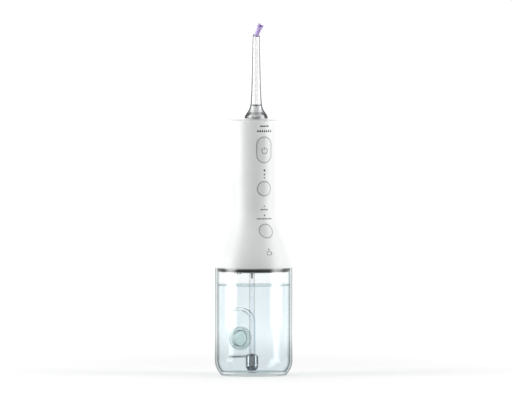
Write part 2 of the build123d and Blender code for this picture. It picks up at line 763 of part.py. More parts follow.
def port_frame():
    inside = grip(shell_wall + 0.1, handle_bottom, handle_top - 5)
    frame = extrude(port_frame_plane.offset(-6.4) * RectangleRounded(port_width + 2, port_height + 2, 2), 4.4)
    frame = frame & inside
    frame -= extrude(port_frame_plane.offset(-2 - cover_thick / 2) * port_outline(), 10)
    opening = SlotOverall(socket_long + fit, socket_high + fit)
    return frame - extrude(port_frame_plane.offset(-8) * opening, 10)


def charge_port():
    floor = port_frame_plane.offset(-socket_depth)
    inside = SlotOverall(socket_long - 2 * socket_wall, socket_high - 2 * socket_wall)
    shell = extrude(floor * SlotOverall(socket_long, socket_high), 4.2)
    shell -= extrude(floor.offset(0.6) * inside, 10)
    return shell + extrude(floor * Rectangle(6.4, 0.7), 3.6)


def port_cover():
    """Rubber flap with a rolled lower edge, which it swings out on."""
    cover = punch(port_frame_plane, port_outline(button_gap), cover_thick) & proud_skin
    rolled = Cylinder(button_gap - fit, port_width - 2 * port_round - 2 * button_gap)
    return cover + Pos(port_hinge.position) * Rot(0, 90, 0) * rolled


# ---------------------------------------------------------------- nozzle mount and release

def nozzle_socket():
    top = handle_top - top_cap_thick - 0.1
    socket = post(socket_radius, socket_bottom, top, 0, nozzle_y)
    socket += post(outlet_bore - fit, socket_bottom - 6, socket_bottom, 0, nozzle_y)
    socket -= post(collar_tube + bore_clear, socket_step, top + 1, 0, nozzle_y)
    socket -= post(collar_bore, stem_bottom - 0.6, top, 0, nozzle_y)
    socket -= post(water_bore, socket_bottom - 7, stem_bottom, 0, nozzle_y)
    slot_half = latch_half + 0.3
    return socket - block(-slot_half, slot_half, nozzle_y - 3.2, 20, release_z - 1, release_z + 1)


def turning_collar():
    collar = post(collar_flange, collar_low, collar_top, 0, nozzle_y)
    collar += post(collar_tube, socket_step + 0.3, collar_low, 0, nozzle_y)
    collar -= tube(20, collar_tube - ring_depth, socket_step + ring_low, socket_step + ring_high, 0, nozzle_y)
    return collar - post(collar_bore, socket_step - 1, collar_top + 1, 0, nozzle_y)


def collar_seal():
    low, high = socket_step + ring_low + fit, socket_step + ring_high - fit
    return tube(collar_tube + running, collar_tube - ring_depth + fit, low, high, 0, nozzle_y)


def nozzle_release():
    low, high = release_z - latch_thick / 2, release_z + latch_thick / 2
    cap_low = back_y(release_z) - 4.3
    fork_end = nozzle_y + stem_radius + release_travel + 0.5
    slider = block(-latch_half, latch_half, nozzle_y - 0.8, cap_low, low, high)
    slider -= block(-latch_open, latch_open, nozzle_y - 9, fork_end, low - 1, high + 1)
    cap = rod_y(release_radius, cap_low, back_y(release_z) + 3, 0, release_z)
    return slider + (cap & proud_skin)


# ---------------------------------------------------------------- nozzle

seat_z = bell_z + 6.0       # top of the hollow under the bell


def nozzle_core():
    low, high = bell_z - 0.1, bell_z - 0.1 + disc_thick
    core = turned((0, stem_bottom), (stem_radius, stem_bottom), (stem_radius, low), (disc_radius, low),
                  (disc_radius, high), (7.6, high), (4.2, seat_z), (0, seat_z), y=nozzle_y)
    ring_bottom, ring_top = stem_bottom + stem_ring_low, stem_bottom + stem_ring_high
    core -= tube(stem_radius + 1, stem_radius - ring_depth, ring_bottom, ring_top, 0, nozzle_y)
    return core - post(water_bore, stem_bottom - 1, seat_z + 1, 0, nozzle_y)


def stem_seal():
    low, high = stem_bottom + stem_ring_low + fit, stem_bottom + stem_ring_high - fit
    return tube(stem_radius + running, stem_radius - ring_depth + fit, low, high, 0, nozzle_y)


def bend_point(angle):
    turn = radians(angle)
    return (0, nozzle_y - bend_radius * (1 - cos(turn)), bend_z + bend_radius * sin(turn))


def bend_plane(angle):
    turn = radians(angle)
    return Plane(bend_point(angle), x_dir=(1, 0, 0), z_dir=(0, -sin(turn), cos(turn)))


def bend_arc(start, end):
    return ThreePointArc(bend_point(start), bend_point((start + end) / 2), bend_point(end))


def nozzle_body():
    bell = Bezier((bell_radius, bell_z), (bell_radius - 0.1, bell_z + 4.6),
                  (6.0, bell_z + 5.0), (shaft_low, shaft_z))
    shaft = Bezier((shaft_low, shaft_z), (4.3, shaft_z + 5.5),
                   (3.9, shaft_z + 17.5), (shaft_high, bend_z - 5.5))
    outline = Line((0, bell_z), (bell_radius, bell_z)) + bell + shaft
    outline += Polyline((shaft_high, bend_z - 5.5), (shaft_high - 0.1, bend_z), (0, bend_z), (0, bell_z))
    body = Pos(0, nozzle_y, 0) * revolve(Plane.XZ * make_face(outline), Axis.Z)
    body += sweep(bend_plane(0) * Circle(shaft_high - 0.1), bend_arc(0, bend_split))
    body -= turned((0, bell_z - 1), (9.1, bell_z - 1), (9.1, bell_z), (8.7, bell_z + 2.2), (4.8, seat_z),
                   (0, seat_z), y=nozzle_y)
    body -= post(water_bore, seat_z - 1, bend_z, 0, nozzle_y)
    return body - sweep(bend_plane(0) * Circle(water_bore), bend_arc(0, bend_split))


def nozzle_tip():
    end = bend_plane(bend_angle)
    tip = sweep(bend_plane(bend_split) * Circle(tip_radius), bend_arc(bend_split, bend_angle))
    tip += extrude(end * Circle(tip_radius), tip_run)
    mouth = end.offset(tip_run)
    tip = fillet(tip.edges().filter_by(GeomType.CIRCLE).sort_by(Axis.Y)[0], 0.35)
    tip -= sweep(bend_plane(bend_split) * Circle(water_bore), bend_arc(bend_split, bend_angle))
    tip -= extrude(end * Circle(water_bore), tip_run)
    cross = Rectangle(4.3, 1.1) + Rectangle(1.1, 4.3)
    return tip - extrude(mouth.offset(-4.5) * Rot(0, 0, 45) * cross, 6)


makers = (
    reservoir_tank, door_hinge_pin, fill_door, fill_plug, plug_cap,
    handle_shell, top_cap, base_plate, base_seal, tank_gasket, base_screws,
    inlet_nipple, suction_hose, filter_weight, filter_cap, chassis,
    motor_can, motor_magnets, motor_endcap, motor_armature, motor_shaft, pinion, drive_gear, gear_axle,
    piston_yoke, piston_seal, pump_cylinder, pump_head, head_screws, inlet_valve, outlet_valve,
    inlet_tube, outlet_tube, battery_cell, battery_tabs, circuit_board, board_screws, tact_switches,
    indicator_leds, indicator_lenses, power_button, pressure_button, mode_button,
    port_frame, charge_port, port_cover, nozzle_socket, turning_collar, collar_seal, nozzle_release,
    nozzle_core, stem_seal, nozzle_body, nozzle_tip,
)

os.makedirs("parts", exist_ok=True)
for maker in makers:
    write(maker.__name__, maker())

pressed = -front_frame(mode_z).z_dir
print("mode button is pressed along", tuple(round(value, 4) for value in pressed))
print("port cover turns about", tuple(round(value, 3) for value in port_hinge.position))
print("suction hose length", round(plate_low - 0.2 - hose_end_z, 1))
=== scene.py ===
import math

import bmesh
import bpy
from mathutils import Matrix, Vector
from mathutils.bvhtree import BVHTree


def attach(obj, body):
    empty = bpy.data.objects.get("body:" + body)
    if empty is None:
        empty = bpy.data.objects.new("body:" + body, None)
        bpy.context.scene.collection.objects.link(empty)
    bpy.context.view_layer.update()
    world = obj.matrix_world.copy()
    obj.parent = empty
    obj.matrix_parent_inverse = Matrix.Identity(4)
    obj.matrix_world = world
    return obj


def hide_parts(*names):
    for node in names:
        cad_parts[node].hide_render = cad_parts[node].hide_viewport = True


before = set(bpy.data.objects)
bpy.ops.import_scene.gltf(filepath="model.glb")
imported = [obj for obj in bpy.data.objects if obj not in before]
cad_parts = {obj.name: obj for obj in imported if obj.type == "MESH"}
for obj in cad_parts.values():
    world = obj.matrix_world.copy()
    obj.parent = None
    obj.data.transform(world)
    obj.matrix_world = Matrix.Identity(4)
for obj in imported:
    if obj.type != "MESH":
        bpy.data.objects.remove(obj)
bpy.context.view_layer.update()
mm = 0.001
scene = bpy.context.scene


# #rrggbb to linear RGBA
def linear(hexColour):
    channels = [int(hexColour[i:i + 2], 16) / 255 for i in (1, 3, 5)]
    return [c / 12.92 if c <= 0.04045 else ((c + 0.055) / 1.055) ** 2.4 for c in channels] + [1.0]


def addNode(tree, kind, settings=None, inputs=None):
    node = tree.nodes.new(kind)
    for name, value in (settings or {}).items():
        setattr(node, name, value)
    for socket, value in (inputs or {}).items():
        if isinstance(value, bpy.types.NodeSocket):
            tree.links.new(value, node.inputs[socket])
        else:
            node.inputs[socket].default_value = value
    return node


# camera

studio = {"azimuth": -25.0, "distance": 9.0, "eyeHeight": 0.456, "aimHeight": 0.1493, "aimRight": 2.02 * mm,
          "lens": 721.6}
turn = math.radians(studio["azimuth"])
forward = Vector((-math.sin(turn), math.cos(turn), 0))
right = Vector((math.cos(turn), math.sin(turn), 0))

cameraData = bpy.data.cameras.new("camera")
cameraData.lens = studio["lens"]
cameraData.sensor_width = 36
cameraData.clip_end = 200
camera = bpy.data.objects.new("camera", cameraData)
scene.collection.objects.link(camera)
aim = right * studio["aimRight"] + Vector((0, 0, studio["aimHeight"]))
camera.location = aim - forward * studio["distance"] + Vector((0, 0, studio["eyeHeight"] - studio["aimHeight"]))
camera.rotation_euler = (aim - camera.location).to_track_quat("-Z", "Y").to_euler()
scene.camera = camera
scene.view_settings.view_transform = "Standard"
scene.cycles.max_bounces = 24
scene.cycles.transmission_bounces = 20
scene.cycles.transparent_max_bounces = 48
print("camera set")


# mesh helpers

def meshObject(name, bm, material, body, smooth=True, tidy=True):
    if tidy:
        bmesh.ops.remove_doubles(bm, verts=bm.verts, dist=1e-7)
        bmesh.ops.recalc_face_normals(bm, faces=bm.faces)
    mesh = bpy.data.meshes.new(name)
    bm.to_mesh(mesh)
    bm.free()
    for polygon in mesh.polygons:
        polygon.use_smooth = smooth
    mesh.materials.append(material)
    piece = bpy.data.objects.new(name, mesh)
    scene.collection.objects.link(piece)
    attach(piece, body)
    return piece


# skin over rings of points, with caps on an open run
def addRings(bm, rings, closed=False):
    loops = [[bm.verts.new(p) for p in ring] for ring in rings]
    pairs = list(zip(loops, loops[1:])) + ([(loops[-1], loops[0])] if closed else [])
    for low, high in pairs:
        for i in range(len(low)):
            j = (i + 1) % len(low)
            bm.faces.new((low[i], low[j], high[j], high[i]))
    if not closed:
        bm.faces.new(loops[0])
        bm.faces.new(loops[-1])


def ringAt(radius, z, sides, x=0.0, y=0.0):
    return [(x + radius * math.cos(2 * math.pi * i / sides), y + radius * math.sin(2 * math.pi * i / sides), z)
            for i in range(sides)]


# points along the smooth NURBS line of a route
def pathPoints(name, points):
    curve = bpy.data.curves.new(name, "CURVE")
    curve.dimensions = "3D"
    spline = curve.splines.new("NURBS")
    spline.points.add(len(points) - 1)
    for point, place in zip(spline.points, points):
        point.co = (*place, 1)
    spline.order_u = 3
    spline.use_endpoint_u = True
    spline.resolution_u = 16
    holder = bpy.data.objects.new(name, curve)
    scene.collection.objects.link(holder)
    line = bpy.data.meshes.new_from_object(holder.evaluated_get(bpy.context.evaluated_depsgraph_get()))
    found = [vertex.co.copy() for vertex in line.vertices]
    bpy.data.objects.remove(holder)
    bpy.data.curves.remove(curve)
    bpy.data.meshes.remove(line)
    return found


# rings square to a path, not twisting along it
def sweptRings(path, radius, sides):
    rings = []
    side = Vector((1, 0, 0))
    for i, place in enumerate(path):
        ahead = (path[min(i + 1, len(path) - 1)] - path[max(i - 1, 0)]).normalized()
        side = (side - ahead * side.dot(ahead)).normalized()
        across = ahead.cross(side)
        rings.append([place + (side * math.cos(a) + across * math.sin(a)) * radius
                      for a in (2 * math.pi * k / sides for k in range(sides))])
    return rings


# finishes

def newFinish(name):
    material = bpy.data.materials.new(name)
    material.use_nodes = True
    material.node_tree.nodes.clear()
    return material, material.node_tree


def close(tree, shader):
    addNode(tree, "ShaderNodeOutputMaterial", inputs={"Surface": shader})


# noise scale for a feature of that many millimetres
def perMetre(size):
    return 1 / (size * mm)


# moulded polymer: slow drift of tone, fine grain of the tool in the gloss and the relief
def moulded(name, light, dark, roughness, grain, height, gloss=0.5, sheen=0.0, mottle=18.0):
    material, tree = newFinish(name)
    place = addNode(tree, "ShaderNodeTexCoord").outputs["Object"]
    drift = addNode(tree, "ShaderNodeTexNoise", inputs={"Vector": place, "Scale": perMetre(mottle), "Detail": 3.0})
    tone = addNode(tree, "ShaderNodeValToRGB", inputs={"Fac": drift.outputs["Fac"]})
    tone.color_ramp.elements[0].position, tone.color_ramp.elements[0].color = 0.3, linear(dark)
    tone.color_ramp.elements[1].position, tone.color_ramp.elements[1].color = 0.7, linear(light)
    fine = addNode(tree, "ShaderNodeTexNoise", inputs={"Vector": place, "Scale": perMetre(grain), "Detail": 4.0})
    shine = addNode(tree, "ShaderNodeMapRange", inputs={
        "Value": fine.outputs["Fac"], "To Min": roughness - 0.05, "To Max": roughness + 0.05})
    relief = addNode(tree, "ShaderNodeBump", inputs={
        "Height": fine.outputs["Fac"], "Strength": 0.6, "Distance": height * mm})
    skin = addNode(tree, "ShaderNodeBsdfPrincipled", inputs={
        "Base Color": tone.outputs["Color"], "Roughness": shine.outputs["Result"], "Normal": relief.outputs["Normal"],
        "Specular IOR Level": gloss, "Sheen Weight": sheen, "IOR": 1.5})
    close(tree, skin.outputs["BSDF"])
    return material


# bare metal with a fine directional grain left by turning, rolling or brushing
def metal(name, light, dark, roughness, grainAcross, grainAlong, height, axis="Z"):
    material, tree = newFinish(name)
    place = addNode(tree, "ShaderNodeTexCoord").outputs["Object"]
    stretch = [perMetre(grainAcross)] * 3
    stretch["XYZ".index(axis)] = perMetre(grainAlong)
    lines = addNode(tree, "ShaderNodeMapping", inputs={"Vector": place, "Scale": stretch})
    grainNoise = addNode(tree, "ShaderNodeTexNoise", inputs={
        "Vector": lines.outputs["Vector"], "Scale": 1.0, "Detail": 3.0})
    tone = addNode(tree, "ShaderNodeValToRGB", inputs={"Fac": grainNoise.outputs["Fac"]})
    tone.color_ramp.elements[0].position, tone.color_ramp.elements[0].color = 0.25, linear(dark)
    tone.color_ramp.elements[1].position, tone.color_ramp.elements[1].color = 0.75, linear(light)
    shine = addNode(tree, "ShaderNodeMapRange", inputs={
        "Value": grainNoise.outputs["Fac"], "To Min": roughness * 0.7, "To Max": roughness * 1.3})
    relief = addNode(tree, "ShaderNodeBump", inputs={
        "Height": grainNoise.outputs["Fac"], "Strength": 0.5, "Distance": height * mm})
    skin = addNode(tree, "ShaderNodeBsdfPrincipled", inputs={
        "Base Color": tone.outputs["Color"], "Metallic": 1.0, "Roughness": shine.outputs["Result"],
        "Normal": relief.outputs["Normal"]})
    close(tree, skin.outputs["BSDF"])
    return material


# clear moulding drawn without bending: its mirror share rises to the edge as in Schlick's rule,
# and the light it would bend away is painted as a dark shade line along each silhouette
def clearWall(name, gloss, reflectFloor, tint, edgeShade, edgeFrom, edgeTo, ripple, rippleHeight):
    material, tree = newFinish(name)
    place = addNode(tree, "ShaderNodeTexCoord").outputs["Object"]
    waves = addNode(tree, "ShaderNodeTexNoise", inputs={"Vector": place, "Scale": perMetre(ripple), "Detail": 1.0})
    relief = addNode(tree, "ShaderNodeBump", inputs={
        "Height": waves.outputs["Fac"], "Strength": 0.5, "Distance": rippleHeight * mm})
    facing = addNode(tree, "ShaderNodeLayerWeight", inputs={"Blend": 0.5}).outputs["Facing"]
    fifth = addNode(tree, "ShaderNodeMath", {"operation": "POWER"}, {0: facing, 1: 5.0})
    share = addNode(tree, "ShaderNodeMapRange", inputs={
        "Value": fifth.outputs["Value"], "To Min": reflectFloor, "To Max": 0.5})
    # painted shade: the see-through colour turns from the tint to the edge shade as the wall is seen edge on
    bent = addNode(tree, "ShaderNodeValToRGB", inputs={"Fac": facing})
    bent.color_ramp.interpolation = "EASE"
    bent.color_ramp.elements[0].position, bent.color_ramp.elements[0].color = edgeFrom, linear(tint)
    bent.color_ramp.elements[1].position, bent.color_ramp.elements[1].color = edgeTo, linear(edgeShade)
    through = addNode(tree, "ShaderNodeBsdfTransparent", inputs={"Color": bent.outputs["Color"]})
    mirror = addNode(tree, "ShaderNodeBsdfGlossy", inputs={
        "Color": (1, 1, 1, 1), "Roughness": gloss, "Normal": relief.outputs["Normal"]})
    wall = addNode(tree, "ShaderNodeMixShader", inputs={
        0: share.outputs["Result"], 1: through.outputs["BSDF"], 2: mirror.outputs["BSDF"]})
    close(tree, wall.outputs["Shader"])
    return material


finishes = {
    # SAN, polished tool: nearly colourless, mirror-clear, with painted shade only where its walls are seen edge on
    "clear_tank": clearWall("sanClearPolished", 0.04, 0.03, "#fdfefe", "#b3bdbf", 0.55, 0.95, 14.0, 0.02),
    # translucent silicone, moulded satin: a grey-green ring, with painted shade as darker lines at its lips
    "plug_rubber": clearWall("siliconeTranslucentSatin", 0.3, 0.03, "#e9efee", "#5c6866", 0.12, 0.7, 3.0, 0.01),
    # natural polypropylene, thin and satin: paler than the rubber round it, with painted shade at its edges
    "plug_insert": clearWall("polypropyleneNaturalSatin", 0.3, 0.03, "#fafdfc", "#83908e", 0.25, 0.8, 3.0, 0.01),
    # stainless pin, ground
    "pin_steel": metal("stainlessGround", "#b8babc", "#9a9c9f", 0.3, 0.2, 3.0, 0.005, "X"),
    # ABS, fine spark-eroded tool: even white with a broad soft highlight
    "white_shell": moulded("absWhiteSatin", "#f2f4f3", "#eef0ef", 0.36, 0.7, 0.012, mottle=24.0),
    # ABS, plain tool: inner parts, a little greyer
    "inner_plastic": moulded("absGreyPlain", "#dadcdc", "#d1d4d4", 0.42, 0.6, 0.015),
    # nitrile rubber, moulded: near black, dull; the seal in the tank seam is a real part, and its dark line also
    # serves as painted shade for that gap
    "seal_rubber": moulded("nitrileBlackMoulded", "#2b2c2f", "#1f2023", 0.55, 0.5, 0.02),
    # stainless screws, rolled and polished heads
    "screw_steel": metal("stainlessRolled", "#b9babb", "#97989a", 0.28, 0.25, 0.6, 0.008),
    # silicone hose, extruded: clear with a milky cast, with painted shade along its edges
    "clear_silicone": clearWall("siliconeClearExtruded", 0.15, 0.03, "#fdfdfe", "#4f5a5c", 0.3, 0.8, 5.0, 0.01),
    # stainless weight, turned and polished: hard dark and light bands
    "polished_steel": metal("stainlessTurnedPolished", "#d3d6d9", "#b4b8bc", 0.09, 2.5, 0.12, 0.002),
    # glass-filled ABS frame, textured tool
    "chassis_plastic": moulded("absGlassFilledTextured", "#6a6d70", "#5b5e61", 0.55, 0.5, 0.03),
    # nickel-plated deep-drawn steel
    "can_steel": metal("steelNickelDrawn", "#c2c1ba", "#a8a7a0", 0.3, 0.8, 4.0, 0.006),
    # sintered ferrite: charcoal, matt, gritty
    "magnet_ferrite": moulded("ferriteSintered", "#46474a", "#37383a", 0.7, 0.3, 0.03),
    # PBT end cap, moulded black
    "endcap_plastic": moulded("pbtBlackMoulded", "#2a2b2e", "#222326", 0.4, 0.5, 0.015),
    # varnished laminations: brown iron with edge lines every 0.5 mm
    "armature_iron": metal("laminatedIronVarnished", "#8c6a4c", "#5d4634", 0.4, 4.0, 0.5, 0.03),
    # brass, hobbed
    "pinion_brass": metal("brassHobbed", "#d6b56a", "#b8944a", 0.28, 0.3, 1.5, 0.008),
    # acetal gear, moulded: waxy off-white
    "gear_plastic": moulded("acetalWaxyMoulded", "#e9e6dc", "#dfdbd0", 0.38, 0.7, 0.008, sheen=0.1),
    # polysulfone pump, moulded: pale amber grey
    "pump_plastic": moulded("polysulfonePaleMoulded", "#d5d2c6", "#c9c6ba", 0.3, 0.6, 0.01),
    # silicone valve, moulded red
    "valve_silicone": moulded("siliconeRedMoulded", "#c2533f", "#ad4634", 0.5, 0.5, 0.01),
    # PVC sleeve, heat shrunk round the cell
    "cell_wrap": moulded("pvcSleeveShrunk", "#3f77b8", "#376aa6", 0.25, 3.0, 0.03),
    # nickel strip, rolled
    "tab_nickel": metal("nickelRolled", "#c9c7c0", "#aeaca5", 0.3, 0.3, 5.0, 0.005),
    # glass epoxy board under solder mask
    "board_green": moulded("solderMaskGreen", "#2c7350", "#24643f", 0.3, 0.9, 0.01),
    # nylon switch bodies, moulded black
    "switch_black": moulded("nylonBlackMoulded", "#303134", "#26272a", 0.45, 0.5, 0.015),
    # light diodes, clear epoxy over a white cup
    "led_white": moulded("epoxyOverWhiteCup", "#f3f1e4", "#e6e3d2", 0.2, 0.4, 0.005),
    # smoked polycarbonate lens, polished: reads as a near-black dot when off
    "lens_smoke": moulded("polycarbonateSmoked", "#121415", "#0d0f10", 0.3, 0.5, 0.002, gloss=0.3),
    # ABS caps, finer tool than the shell: a shade greyer and a little glossier
    "button_grey": moulded("absButtonFine", "#e6e9e8", "#e1e4e3", 0.3, 0.6, 0.008),
    # thermoplastic elastomer cover: pale, soft sheen
    "cover_rubber": moulded("elastomerPaleSoft", "#e3e6e5", "#dadedd", 0.6, 0.4, 0.02, sheen=0.2),
    # ABS core under the bell
    "white_core": moulded("absCorePale", "#f3f5f5", "#eceeef", 0.34, 0.6, 0.01),
    # copolyester nozzle, polished: the light it would bend is painted as dark shade lines at its edges
    "clear_nozzle": clearWall("copolyesterPolished", 0.03, 0.03, "#fcfcfc", "#5a5e5f", 0.22, 0.74, 9.0, 0.01),
    # polypropylene tip, moulded: lavender with light passing in the thin walls
    "purple_tip": moulded("polypropyleneLavender", "#cbb9ec", "#c2aee6", 0.34, 0.5, 0.008),
}
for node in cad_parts.values():
    for slot in node.material_slots:
        slot.material = finishes[slot.material.name.split(".")[0]]
print("finishes on", len(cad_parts), "nodes")


# suction hose

hose = {"route": [(0, 3.5, 90.4), (0, 3.5, 53.0), (0, 3.5, 15.5)], "outer": 2.2, "bore": 1.22, "sides": 48}
hosePath = pathPoints("hoseRoute", [Vector(p) * mm for p in hose["route"]])
bm = bmesh.new()
outside = sweptRings(hosePath, hose["outer"] * mm, hose["sides"])
inside = sweptRings(hosePath, hose["bore"] * mm, hose["sides"])
addRings(bm, outside + inside[::-1], closed=True)
hosePiece = meshObject("suction_line", bm, finishes["clear_silicone"], "handle")
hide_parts("suction_hose")
print("suction line", round(sum((b - a).length for a, b in zip(hosePath, hosePath[1:])) / mm, 1), "mm long")


# water in the reservoir

water = {"radius": 31.85, "floor": 3.15, "level": 78.8, "meniscus": 0.7, "creep": 1.2, "cornerX": 17.0,
         "cornerZ": 13.0, "corner": 14.85, "sides": 192}
# still water drawn without bending: painted shade where its surface is seen edge on
waterFinish = clearWall("waterStill", 0.01, 0.02, "#f5f9fb", "#c3d0d4", 0.7, 0.98, 30.0, 0.002)


# half section of the water from the axis at the floor round to the axis at the surface
def waterProfile():
    start = math.asin((water["floor"] - water["cornerZ"]) / water["corner"])
    points = [(water["cornerX"] + water["corner"] * math.cos(start * (1 - k / 20)),
               water["cornerZ"] + water["corner"] * math.sin(start * (1 - k / 20))) for k in range(21)]
    points += [(water["radius"], z) for z in (20, 34, 50, 66, water["level"] - 0.4)]
    for k in range(9):    # the water climbs the wall in a small curve
        climb = math.radians(90 * k / 8)
        points.append((water["radius"] - water["creep"] * (1 - math.cos(climb)),
                       water["level"] + water["meniscus"] * (1 - math.sin(climb))))
    points += [(r, water["level"]) for r in (24, 16, 8)]
    return points


bm = bmesh.new()
profile = waterProfile()
addRings(bm, [ringAt(r * mm, z * mm, water["sides"]) for r, z in profile])
waterPiece = meshObject("water", bm, waterFinish, "reservoir")


# outline of the wall round the fill door, grown, in x and z
def doorJacket(grow):
    half, foot, step, centre = 13.5 + grow, 11.3 + grow, 14.2 - grow, 44.5
    arch = [(half * math.cos(math.radians(a)), centre + half * math.sin(math.radians(a))) for a in range(0, 181, 6)]
    return [(foot, -2), (foot, step), (half, step)] + arch + [(-half, step), (-foot, step), (-foot, -2)]


bm = bmesh.new()
outline = doorJacket(0.15)
addRings(bm, [[(x * mm, y * mm, z * mm) for x, z in outline] for y in (24.85, 45.0)])
cutter = meshObject("jacketCutter", bm, waterFinish, "reservoir", smooth=False)
cut = waterPiece.modifiers.new("cut", "BOOLEAN")
cut.operation, cut.object, cut.solver = "DIFFERENCE", cutter, "EXACT"
cutMesh = bpy.data.meshes.new_from_object(waterPiece.evaluated_get(bpy.context.evaluated_depsgraph_get()))
waterPiece.modifiers.remove(cut)
waterPiece.data = cutMesh
bpy.data.objects.remove(cutter)
for polygon in cutMesh.polygons:
    polygon.use_smooth = abs(polygon.normal.y) < 0.999 or polygon.center.y < 0.0248
print("water", len(cutMesh.polygons), "faces")


# nozzle tip: four lobes round a cross-shaped mouth

tip = {"bendY": -5.2, "bendZ": 295.5, "bend": 6.0, "from": 24.6, "to": 45.0, "run": 10.3, "foot": 2.15, "neck": 2.1,
       "mouth": 2.85, "bore": 0.9, "slot": 0.52, "slotDepth": 4.5, "notch": 1.1, "lipRise": 0.1, "lipBack": 0.2,
       "steps": 26, "sides": 96}
tipArc = math.radians(tip["to"] - tip["from"]) * tip["bend"]
tipLength = tipArc + tip["run"]


# centre, direction and side of the tip's bent axis at a distance from its foot
def tipAxis(distance):
    angle = math.radians(tip["from"]) + min(distance, tipArc) / tip["bend"]
    centre = Vector((0, tip["bendY"] - tip["bend"] * (1 - math.cos(angle)),
                     tip["bendZ"] + tip["bend"] * math.sin(angle)))
    ahead = Vector((0, -math.sin(angle), math.cos(angle)))
    return centre + ahead * max(0.0, distance - tipArc), ahead


def smooth(t):
    t = min(max(t, 0.0), 1.0)
    return t * t * (3 - 2 * t)


# one ring of the tip's outer skin, or of its bore and mouth
def tipRing(distance, outer):
    ring = []
    share = distance / tipLength
    for i in range(tip["sides"]):
        angle = 2 * math.pi * i / tip["sides"]
        toSlot = abs(math.degrees(angle) % 90 - 45) / 45        # 0 in line with a slot, 1 on a lobe
        flare = smooth((share - 0.55) / 0.45)
        lobe = smooth(min(1.0, toSlot * 1.6))
        if outer:
            swell = tip["foot"] + (tip["neck"] - tip["foot"]) * smooth(share * 2.2)
            swell += (tip["mouth"] - tip["neck"]) * flare
            radius = swell - 0.55 * flare * (1 - lobe)
        else:
            depth = smooth((distance - (tipLength - tip["slotDepth"])) / 1.2)
            arm = (tip["mouth"] - 0.75) * (1 - lobe) + (tip["slot"] + 0.35) * lobe
            radius = tip["bore"] + (arm - tip["bore"]) * depth
        back = tip["notch"] * smooth((share - 0.9) / 0.1) * (1 - lobe)
        centre, ahead = tipAxis(distance - back)
        side = Vector((1, 0, 0))
        across = ahead.cross(side)
        ring.append((centre + (side * math.cos(angle) + across * math.sin(angle)) * radius) * mm)
    return ring


steps = [tipLength * k / tip["steps"] for k in range(tip["steps"])]
lipOut = tipRing(tipLength, True)
lipIn = tipRing(tipLength, False)
lipDirection = tipAxis(tipLength)[1] * mm
lip = [(a + b) / 2 + lipDirection * tip["lipRise"] for a, b in zip(lipOut, lipIn)]
skin = [tipRing(d, True) for d in steps] + [[p - lipDirection * tip["lipBack"] for p in lipOut]]
mouth = [[p - lipDirection * tip["lipBack"] for p in lipIn]] + [tipRing(d, False) for d in reversed(steps)]
bm = bmesh.new()
addRings(bm, skin + [lip] + mouth, closed=True)
tipPiece = meshObject("spray_tip", bm, finishes["purple_tip"], "nozzle")
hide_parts("nozzle_tip")
print("spray tip", len(tipPiece.data.polygons), "faces")


# white insert inside the bell, with a dark ring on its top that is painted shade where the clear shaft meets it

insert = {"outer": [(7.0, 226.4), (6.7, 228.0), (5.6, 230.6), (4.6, 233.2), (4.1, 235.4), (3.9, 236.8)],
          "boreHeights": (236.8, 231.0, 226.4), "bore": 1.3, "sides": 72,
          "ringRadius": 4.5, "ringLow": 236.9, "ringHigh": 237.5}


# closed solid turned from a profile of (radius, height) round the nozzle's axis
def turnedRound(profile):
    bm = bmesh.new()
    rings = [ringAt(r * mm, z * mm, insert["sides"], y=tip["bendY"] * mm) for r, z in profile]
    addRings(bm, rings, closed=True)
    return bm


sleeve = insert["outer"] + [(insert["bore"], z) for z in insert["boreHeights"]]
meshObject("bell_insert", turnedRound(sleeve), finishes["white_core"], "nozzle")
# dark ring in the frame's grey finish: painted shade at the foot of the clear shaft
square = [(insert["bore"], insert["ringLow"]), (insert["ringRadius"], insert["ringLow"]),
          (insert["ringRadius"], insert["ringHigh"]), (insert["bore"], insert["ringHigh"])]
meshObject("insert_shade_ring", turnedRound(square), finishes["chassis_plastic"], "nozzle", smooth=False)
print("bell insert")


# printed marks, and painted shade of the gaps round the buttons, laid on the surface below them

# search tree over the merged faces of some nodes
def surfaceOf(*names):
    bm = bmesh.new()
    for name in names:
        bm.from_mesh(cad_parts[name].data)
    tree = BVHTree.FromBMesh(bm)
    bm.free()
    return tree


# flat band along a line of (a, b) points
def lineStrip(points, width, closed=False):
    count = len(points)
    left, rightSide = [], []
    for i, (a, b) in enumerate(points):
        before = points[i - 1] if closed or i else points[0]
        after = points[(i + 1) % count] if closed or i < count - 1 else points[-1]
        along = Vector((after[0] - before[0], after[1] - before[1])).normalized()
        left.append((a - along.y * width / 2, b + along.x * width / 2))
        rightSide.append((a + along.y * width / 2, b - along.x * width / 2))
    last = count if closed else count - 1
    return [[left[i], rightSide[i], rightSide[(i + 1) % count], left[(i + 1) % count]] for i in range(last)]


def arcPoints(a, b, radius, start, end, count):
    return [(a + radius * math.cos(math.radians(start + (end - start) * k / count)),
             b + radius * math.sin(math.radians(start + (end - start) * k / count))) for k in range(count + 1)]


def stadium(halfWidth, height, count=24):
    straight = height / 2 - halfWidth
    return (arcPoints(0, straight, halfWidth, 0, 180, count) + arcPoints(0, -straight, halfWidth, 180, 360, count))


